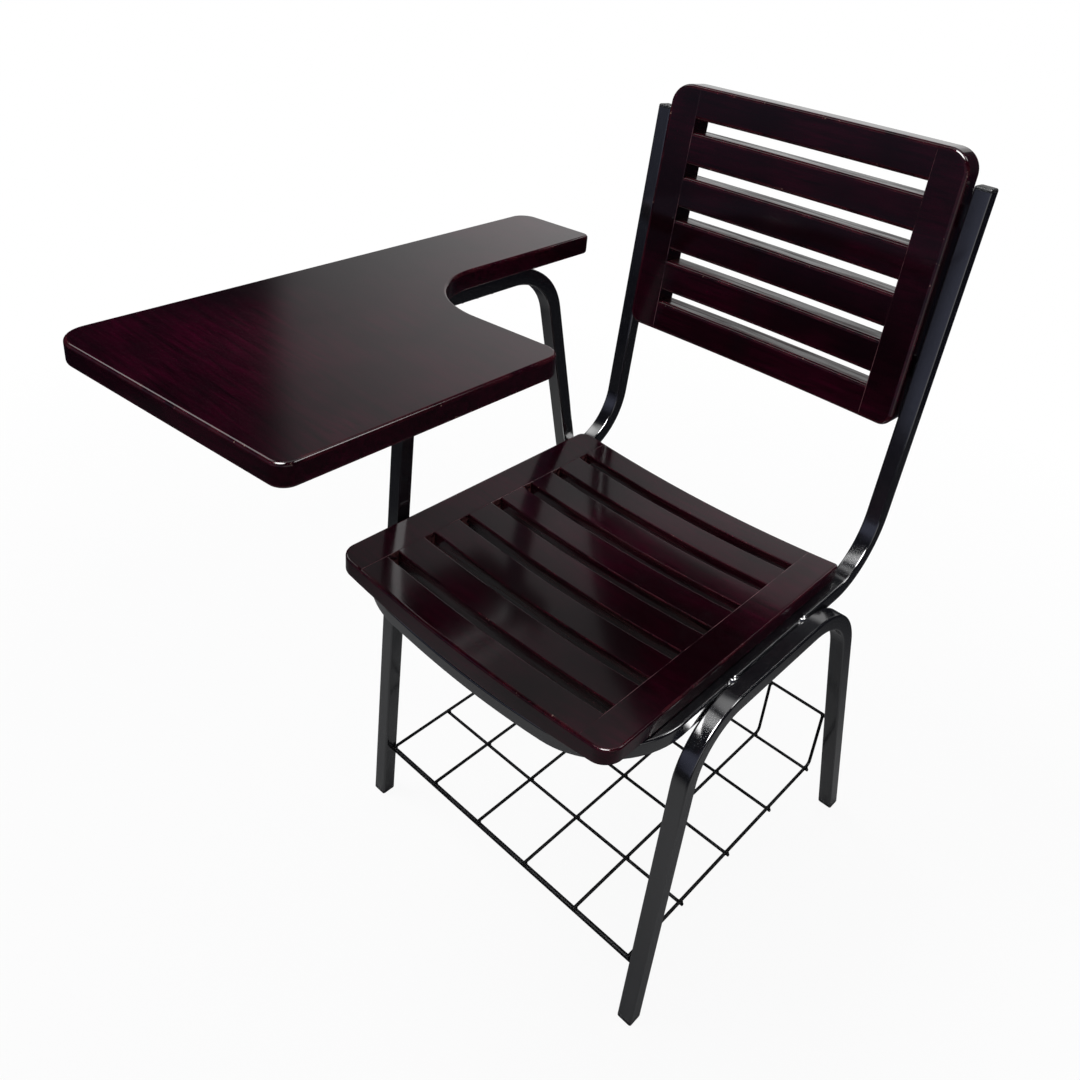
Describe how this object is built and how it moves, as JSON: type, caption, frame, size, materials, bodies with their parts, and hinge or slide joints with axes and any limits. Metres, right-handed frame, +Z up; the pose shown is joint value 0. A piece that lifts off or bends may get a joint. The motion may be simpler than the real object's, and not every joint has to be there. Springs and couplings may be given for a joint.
{
  "type": "tablet arm chair",
  "caption": "Student chair of bent square steel tube with slatted wooden seat and back, a fixed writing board on one side and a wire book rack under the seat.",
  "frame": {"origin": "on the floor under the middle of the object's box", "axes": "+Z up, +X towards the sitter's left, the sitter looks along -Y"},
  "size_m": [0.5296, 0.7588, 0.9092],
  "materials": {
    "stained_wood": "dark red-brown stain under gloss lacquer",
    "frame_paint": "black semi-gloss paint",
    "rack_wire": "black semi-gloss paint",
    "end_plugs": "black moulded plastic",
    "screws": "zinc plated"
  },
  "bodies": {
    "root": {"arm_hoop": "frame_paint", "back_rail_1": "stained_wood", "back_rail_2": "stained_wood", "back_rail_3": "stained_wood", "back_rail_4": "stained_wood", "back_rail_5": "stained_wood", "back_rail_6": "stained_wood", "back_screws": "screws", "back_stile_left": "stained_wood", "back_stile_right": "stained_wood", "back_tab_lower_left": "frame_paint", "back_tab_lower_right": "frame_paint", "back_tab_upper_left": "frame_paint", "back_tab_upper_right": "frame_paint", "board_screws": "screws", "foot_plug_front_left": "end_plugs", "foot_plug_front_right": "end_plugs", "foot_plug_rear_left": "end_plugs", "foot_plug_rear_right": "end_plugs", "leg_hoop": "frame_paint", "rack_cross_wire_1": "rack_wire", "rack_cross_wire_2": "rack_wire", "rack_cross_wire_3": "rack_wire", "rack_cross_wire_4": "rack_wire", "rack_front_rod": "rack_wire", "rack_long_wire_1": "rack_wire", "rack_long_wire_2": "rack_wire", "rack_long_wire_3": "rack_wire", "rack_long_wire_4": "rack_wire", "rack_long_wire_5": "rack_wire", "rack_long_wire_6": "rack_wire", "rack_top_wire": "rack_wire", "seat_back_tube": "frame_paint", "seat_screws": "screws", "seat_slat_1": "stained_wood", "seat_slat_2": "stained_wood", "seat_slat_3": "stained_wood", "seat_slat_4": "stained_wood", "seat_slat_5": "stained_wood", "seat_slat_6": "stained_wood", "seat_slat_7": "stained_wood", "seat_slat_8": "stained_wood", "seat_stile_left": "stained_wood", "seat_stile_right": "stained_wood", "seat_tab_front_left": "frame_paint", "seat_tab_front_right": "frame_paint", "seat_tab_rear_left": "frame_paint", "seat_tab_rear_right": "frame_paint", "upright_cap_left": "end_plugs", "upright_cap_right": "end_plugs", "writing_board": "stained_wood"}
  },
  "joints": []
}
